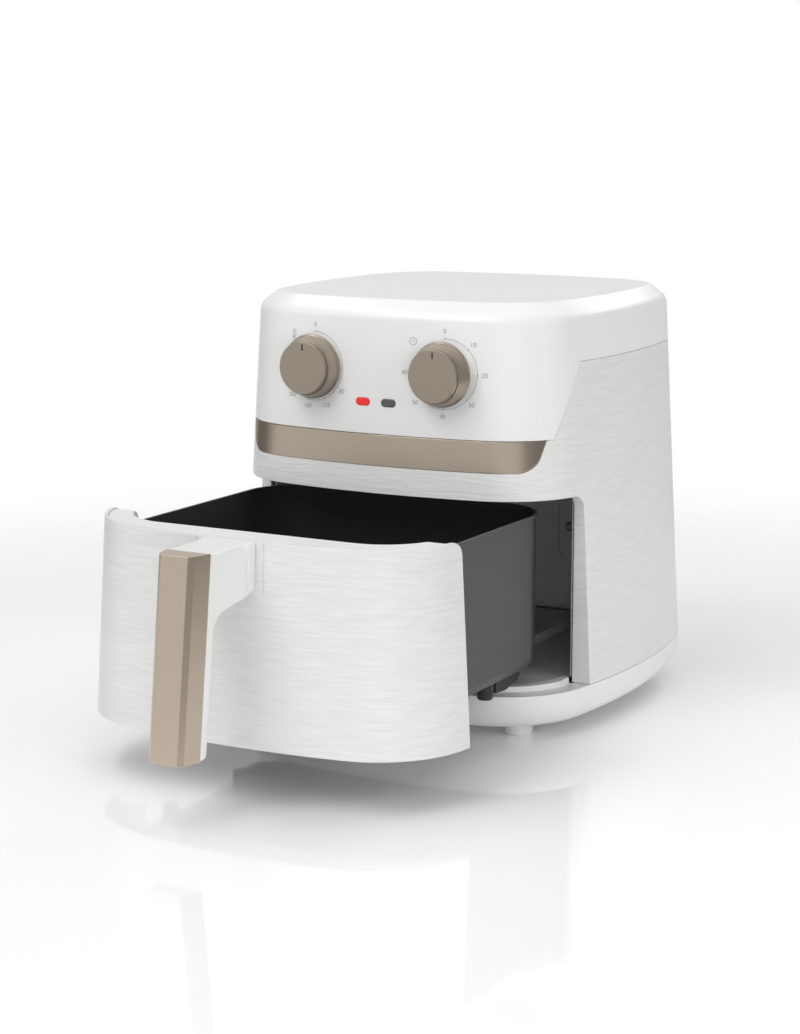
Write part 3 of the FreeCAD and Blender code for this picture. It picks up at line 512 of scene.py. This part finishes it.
INK_GREY = (0.36, 0.36, 0.37)
INK_PROUD = 0.00012
INK_SUNK = 0.0001
SCALE_R = 0.0246
SCALE_WIDTH = 0.00032
NUMBER_R = 0.0296
NUMBER_HEIGHT = 0.0032
DOT_R = 0.00055
TICK_WIDTH = 0.0003
TICK_LENGTH = 0.0011
CLOCK_PLACE = (-0.0236, 0.0219)
CLOCK_R = 0.0026
CLOCK_HANDS = ((0, 0.0017), (0.0012, 0))
BULB_PLACE = Vector((-0.0195, 0.0198))
BULB_R = 0.0012
BULB_DROP_R = 0.00025
TUBE_R = 0.0006
TUBE_FOOT = 0.0010
TUBE_TOP = 0.0048
LEVEL_MARKS = (0.0022, 0.0034, 0.0046)
LEVEL_REACH = (0.0014, 0.0024)
STROKE = 0.0004
DIGIT_SHARE = 0.7
ARC_STEP = 5
TIMER_STEP = 45
TIMER_NUMBERS = {TIMER_STEP * i: str(10 * i) for i in range(1, 7)}
TEMPERATURE_NUMBERS = {125: "80", 158: "120", 191: "160", 222: "200"}


def inked(tree):
    """Varying sockets of the printing ink."""
    skin = effect(tree, moulding_skin_effect, Grain=3000.0)
    return {"Base Color": tint(tree, skin["Tone"], shade(INK_GREY, 0.93), INK_GREY),
            "Roughness": spread(tree, skin["Tone"], 0.40, 0.5)}


grey_ink = new_material("grey_ink", inked)
cover_surface = BVHTree.FromPolygons([v.co.copy() for v in top_cover.data.vertices],
                                     [tuple(p.vertices) for p in top_cover.data.polygons])


def clock_point(radius, angle):
    """Point at an angle in degrees, clockwise from the top."""
    turn = math.radians(angle)
    return radius * math.sin(turn), radius * math.cos(turn)


def ink_band(ink, inner, outer):
    """Closed band of ink between two rows of points of the same length."""
    rows = [[ink.verts.new((x, y, depth)) for x, y in row]
            for row in (inner, outer) for depth in (-INK_SUNK, INK_PROUD)]
    low_inner, high_inner, low_outer, high_outer = rows
    for i in range(len(inner) - 1):
        j = i + 1
        for a, b in ((high_inner, high_outer), (high_outer, low_outer),
                     (low_outer, low_inner), (low_inner, high_inner)):
            ink.faces.new((a[i], b[i], b[j], a[j]))
    for i in (0, -1):
        ink.faces.new((low_inner[i], low_outer[i], high_outer[i], high_inner[i]))


def ink_arc(ink, centre, radius, width, start, end):
    """Arc of ink from one clock angle to another."""
    steps = max(8, round(abs(end - start) / ARC_STEP))
    rows = []
    for edge in (radius - width / 2, radius + width / 2):
        turns = [clock_point(edge, start + (end - start) * i / steps) for i in range(steps + 1)]
        rows.append([(centre[0] + x, centre[1] + y) for x, y in turns])
    ink_band(ink, *rows)


def ink_stroke(ink, start, end, width):
    """Straight stroke of ink."""
    along = Vector((end[0] - start[0], end[1] - start[1])).normalized() * (width / 2)
    side = (-along.y, along.x)
    ink_band(ink, [(x - side[0], y - side[1]) for x, y in (start, end)],
             [(x + side[0], y + side[1]) for x, y in (start, end)])


def ink_number(ink, centre, label):
    """Number set upright round a point."""
    curve = bpy.data.curves.new("number", "FONT")
    curve.body = label
    curve.size = NUMBER_HEIGHT / DIGIT_SHARE
    curve.align_x = "CENTER"
    curve.align_y = "CENTER"
    curve.extrude = (INK_PROUD + INK_SUNK) / 2
    curve.resolution_u = 3
    writing = bpy.data.objects.new("number", curve)
    bpy.context.scene.collection.objects.link(writing)
    bpy.context.view_layer.update()
    mesh = bpy.data.meshes.new_from_object(writing.evaluated_get(bpy.context.evaluated_depsgraph_get()))
    for vertex in mesh.vertices:
        vertex.co += Vector((centre[0], centre[1], (INK_PROUD - INK_SUNK) / 2))
    ink.from_mesh(mesh)
    bpy.data.objects.remove(writing)


def printed(ink, dial, name):
    """Lays flat ink marks onto the curved panel round a dial."""
    low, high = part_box(f"{dial}_knob")
    centre = (low + high) / 2
    bmesh.ops.remove_doubles(ink, verts=ink.verts, dist=WELD_DISTANCE)
    for vertex in ink.verts:
        x, z, depth = centre.x + vertex.co.x, centre.z + vertex.co.y, vertex.co.z
        hit = cover_surface.ray_cast(Vector((x, low.y - 0.1, z)), Vector((0, 1, 0)))[0]
        vertex.co = Vector((x, hit.y - depth, z))
    bmesh.ops.recalc_face_normals(ink, faces=ink.faces)
    piece = smooth_piece(ink, name, grey_ink)
    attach(piece, "housing")


def ink_scale(numbers):
    """Scale line from nought at the top to the last number, with a dot at each number."""
    ink = bmesh.new()
    ink_arc(ink, (0, 0), SCALE_R, SCALE_WIDTH, 0, max(numbers))
    ink_number(ink, clock_point(NUMBER_R, 0), "0")
    for angle in [0, *numbers]:
        ink_arc(ink, clock_point(SCALE_R, angle), DOT_R / 2, DOT_R, 0, 360)
    for angle, label in numbers.items():
        ink_number(ink, clock_point(NUMBER_R, angle), label)
    return ink


timer_ink = ink_scale(TIMER_NUMBERS)
for angle in TIMER_NUMBERS:
    half_step = angle - TIMER_STEP / 2
    tick_ends = [clock_point(radius, half_step) for radius in (SCALE_R, SCALE_R + TICK_LENGTH)]
    ink_stroke(timer_ink, *tick_ends, TICK_WIDTH)
ink_arc(timer_ink, CLOCK_PLACE, CLOCK_R, STROKE, 0, 360)
for hand in CLOCK_HANDS:
    tip = (CLOCK_PLACE[0] + hand[0], CLOCK_PLACE[1] + hand[1])
    ink_stroke(timer_ink, CLOCK_PLACE, tip, STROKE)
printed(timer_ink, "timer", "timer_scale")

temperature_ink = ink_scale(TEMPERATURE_NUMBERS)
ink_arc(temperature_ink, BULB_PLACE, BULB_R, STROKE, 30, 330)
ink_arc(temperature_ink, BULB_PLACE, BULB_DROP_R, 2 * BULB_DROP_R, 0, 360)
for side in (-TUBE_R, TUBE_R):
    wall_ends = [BULB_PLACE + Vector((side, height)) for height in (TUBE_FOOT, TUBE_TOP)]
    ink_stroke(temperature_ink, *wall_ends, STROKE)
ink_arc(temperature_ink, BULB_PLACE + Vector((0, TUBE_TOP)), TUBE_R, STROKE, -90, 90)
for level in LEVEL_MARKS:
    mark_ends = [BULB_PLACE + Vector((reach, level)) for reach in LEVEL_REACH]
    ink_stroke(temperature_ink, *mark_ends, STROKE)
printed(temperature_ink, "temperature", "temperature_scale")

# ---- Lamp lenses
# Two small pill-shaped lenses between the dials, snapped in from behind: red for heating,
# which is lit, and smoke grey for power.

LENS_EDGE = 0.0005
RED = (0.72, 0.012, 0.010)
SMOKE = (0.085, 0.085, 0.088)


def lens(colour, glow):
    """Varying sockets of a clear tinted moulding, lit from behind by a share of its colour."""
    def inputs_of(tree):
        skin = effect(tree, moulding_skin_effect, Grain=900.0)
        return {"Base Color": tint(tree, skin["Tone"], shade(colour, 0.94), colour),
                "Emission Color": tint(tree, skin["Tone"], shade(colour, glow * 0.9), shade(colour, glow)),
                "Roughness": spread(tree, skin["Tone"], 0.10, 0.16)}
    return inputs_of


red_lens = new_material("red_lens", lens(RED, 1.0), **{"Emission Strength": 0.25, "Coat Weight": 0.5})
smoke_lens = new_material("smoke_lens", lens(SMOKE, 0.2), **{"Emission Strength": 0.1, "Coat Weight": 0.5})
finished("heating_lens", LENS_EDGE, red_lens)
finished("power_lens", LENS_EDGE, smoke_lens)

# ---- Drawer front and its inner cover
# The front is the same rippled white moulding as the housing, with two pressed lines beside
# the handle. A smooth white cover closes it from behind and follows the pan's rim.

DRAWER_EDGE = 0.0004
INNER_EDGE = 0.0005
finished("drawer_front", DRAWER_EDGE, white_grained_painted_shade)
finished("drawer_inner_cover", INNER_EDGE, white_smooth)

# ---- Handle
# A white arm moulded with the back half of the grip, held by two screws from behind the front,
# and a faceted taupe cover that snaps over the grip.

BRACKET_EDGE = 0.0005
GRIP_EDGE = 0.0004
GRIP_TAUPE = (0.66, 0.56, 0.455)
grip_lacquer = new_material("taupe_grip", taupe_lacquer(GRIP_TAUPE, 0.30), Metallic=0.85)
finished("handle_bracket", BRACKET_EDGE, white_smooth)
finished("handle_grip_cover", GRIP_EDGE, grip_lacquer)

# ---- Pan and crisper plate
# The pan is deep drawn from steel with a rolled rim and has a dark non-stick coating. Black
# runners and pegs are riveted under it. The plate inside is pierced and stands on soft buffers.

PAN_EDGE = 0.0004
RUNNER_EDGE = 0.0005
BUFFER_EDGE = 0.0003
NONSTICK = (0.034, 0.034, 0.035)
RUBBER_BLACK = (0.030, 0.030, 0.030)
nonstick = new_material("nonstick", coated(NONSTICK, 0.30, 0.42, 520.0))
black_rubber = new_material("black_rubber", soft_rubber(RUBBER_BLACK))
finished("pan", PAN_EDGE, nonstick)
set_finish(nonstick, "crisper_plate")
finished("crisper_bumpers", BUFFER_EDGE, black_rubber)
for under_pan in ("pan_feet", "pan_runner_left", "pan_runner_right"):
    finished(under_pan, RUNNER_EDGE, black_plastic)

# ---- Floor, light and camera
# A glossy white table that fades out into a white surround. Large soft lamps light it, some of
# them leaving no reflection, and two dark flags edge the lacquer. The camera is a little over
# the fryer's top, to the right of its front.

FLOOR_HALF = 4.0
FLOOR_CLEAR_R = (0.45, 1.0)
FLOOR_WHITE = (0.96, 0.96, 0.96)
FLOOR_GLOW = 0.04
FLOOR_DULL = 0.05
SURROUND = 0.60
FLAG_SHARE = 0.06
LEFT_FLAG = (-115.0, -80.0)
RIGHT_FLAG = (54.0, 128.0)
FLAG_EDGE = 9.0
AIM = Vector((-0.04424, -0.02440, 0.13245))
EYE = Vector((0.78754, -1.53240, 0.45319))
LENS_MM = 79.33
SENSOR_MM = 36.0
LAMP_AIM = Vector((0, 0, 0.15))
LAMPS = {"top": ((0.0, -0.1, 1.9), (2.2, 2.2), 10.0),
         "front": ((-1.3, -4.4, 4.2), (3.2, 3.2), 100.0),
         "low": ((1.5, -2.2, 0.17), (1.3, 0.26), 12.5),
         "right": ((2.4, -0.35, 0.9), (1.6, 1.4), 22.0),
         "front_strip": ((-0.75, -0.45, 1.75), (2.0, 0.14), 7.0),
         "rear_strip": ((0.45, 2.1, 1.35), (1.6, 0.16), 7.0)}
MATT_LAMPS = ("top", "low", "right")


def table_top(tree):
    """Varying sockets of the table, clear beyond a distance and from below."""
    coordinates = place(tree, "ShaderNodeTexCoord").outputs["Object"]
    clouds = noise(tree, coordinates, 3.0)
    reach = place(tree, "ShaderNodeVectorMath", {0: coordinates}, operation="LENGTH").outputs["Value"]
    fade = place(tree, "ShaderNodeMapRange", {"Value": reach, "From Min": FLOOR_CLEAR_R[0],
                                              "From Max": FLOOR_CLEAR_R[1], "To Min": 1.0, "To Max": 0.0},
                 interpolation_type="SMOOTHSTEP")
    under = place(tree, "ShaderNodeNewGeometry").outputs["Backfacing"]
    upper = maths(tree, "SUBTRACT", 1.0, under)
    white_drift = tint(tree, clouds, shade(FLOOR_WHITE, 0.995), FLOOR_WHITE)
    return {"Base Color": white_drift,
            "Emission Color": white_drift,
            "Alpha": maths(tree, "MULTIPLY", fade.outputs["Result"], upper)}


floor_shape = bmesh.new()
corners = [(-FLOOR_HALF, -FLOOR_HALF), (FLOOR_HALF, -FLOOR_HALF),
           (FLOOR_HALF, FLOOR_HALF), (-FLOOR_HALF, FLOOR_HALF)]
floor_shape.faces.new([floor_shape.verts.new((x, y, 0)) for x, y in corners])
glossy_white = new_material("table_white", table_top, Roughness=FLOOR_DULL,
                            **{"Emission Strength": FLOOR_GLOW})
smooth_piece(floor_shape, "table", glossy_white)

for name, (spot, size, power) in LAMPS.items():
    light = bpy.data.lights.new(name, "AREA")
    light.shape = "RECTANGLE"
    light.size, light.size_y = size
    light.energy = power
    lamp = bpy.data.objects.new(name, light)
    lamp.location = spot
    lamp.visible_glossy = name not in MATT_LAMPS
    lamp.rotation_euler = (LAMP_AIM - lamp.location).to_track_quat("-Z", "Y").to_euler()
    bpy.context.scene.collection.objects.link(lamp)

world = bpy.data.worlds.new("surround")
bpy.context.scene.world = world
world.use_nodes = True
sky = world.node_tree
sky.nodes.clear()
heading = place(sky, "ShaderNodeTexCoord").outputs["Generated"]
heading_parts = place(sky, "ShaderNodeSeparateXYZ", {0: heading}).outputs
forward = maths(sky, "MULTIPLY", heading_parts["Y"], -1.0)
heading_angle = maths(sky, "ARCTAN2", heading_parts["X"], forward)
heading_share = maths(sky, "DIVIDE", maths(sky, "ADD", heading_angle, math.pi), 2 * math.pi)
flags = place(sky, "ShaderNodeValToRGB", {"Fac": heading_share})
for stop in flags.color_ramp.elements:
    stop.color = (SURROUND, SURROUND, SURROUND, 1)
for start, end in (LEFT_FLAG, RIGHT_FLAG):
    edges = {start - FLAG_EDGE: 1, start: FLAG_SHARE, end: FLAG_SHARE, end + FLAG_EDGE: 1}
    for angle, share in edges.items():
        stop = flags.color_ramp.elements.new((angle + 180) / 360)
        stop.color = (SURROUND * share, SURROUND * share, SURROUND * share, 1)
seen = place(sky, "ShaderNodeLightPath").outputs["Is Camera Ray"]
light_of = place(sky, "ShaderNodeBackground", {"Color": flags.outputs["Color"], "Strength": 1.0})
white = place(sky, "ShaderNodeBackground", {"Color": (1, 1, 1, 1), "Strength": 1.0})
surround = place(sky, "ShaderNodeMixShader", {0: seen, 1: light_of.outputs[0], 2: white.outputs[0]})
place(sky, "ShaderNodeOutputWorld", {"Surface": surround.outputs[0]})

camera = bpy.data.objects.new("camera", bpy.data.cameras.new("camera"))
camera.data.lens = LENS_MM
camera.data.sensor_width = SENSOR_MM
camera.location = EYE
camera.rotation_euler = (AIM - EYE).to_track_quat("-Z", "Y").to_euler()
bpy.context.scene.collection.objects.link(camera)
bpy.context.scene.camera = camera
bpy.context.scene.view_settings.view_transform = "Standard"
